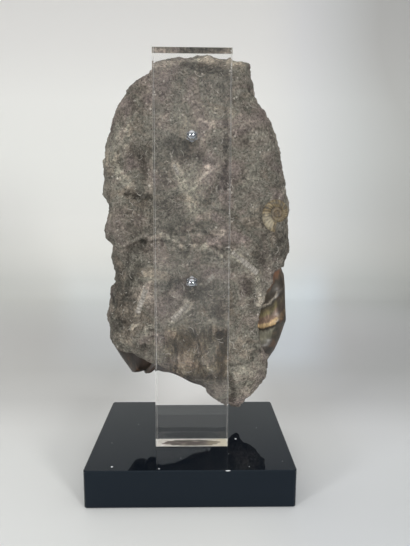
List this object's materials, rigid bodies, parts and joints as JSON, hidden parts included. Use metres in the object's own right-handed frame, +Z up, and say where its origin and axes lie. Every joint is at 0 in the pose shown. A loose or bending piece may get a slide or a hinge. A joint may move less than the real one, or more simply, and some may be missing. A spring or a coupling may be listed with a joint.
{
  "type": "polished ammonite fossil block on a clear display stand",
  "caption": "Rough limestone slab with polished ammonites raised on its far face, held by two cap nuts and studs on a clear acrylic upright that stands on a black acrylic base.",
  "frame": {"origin": "centre of the black base's underside, which is the plane z = 0", "axes": "+Z up; +Y from the nuts' side towards the polished fossil face; +X to the right as seen from the nuts' side"},
  "size_m": [0.166, 0.122, 0.3475],
  "materials": {
    "limestone": "rough broken stone with polished bronze-brown fossils",
    "clear_acrylic": "clear, polished faces and edges",
    "black_acrylic": "deep gloss",
    "chrome": "bright plated"
  },
  "bodies": {
    "root": {"fossil_block": "limestone", "acrylic_upright": "clear_acrylic", "black_base": "black_acrylic", "upper_stud": "chrome", "lower_stud": "chrome", "upper_cap_nut": "chrome", "lower_cap_nut": "chrome"}
  },
  "joints": []
}
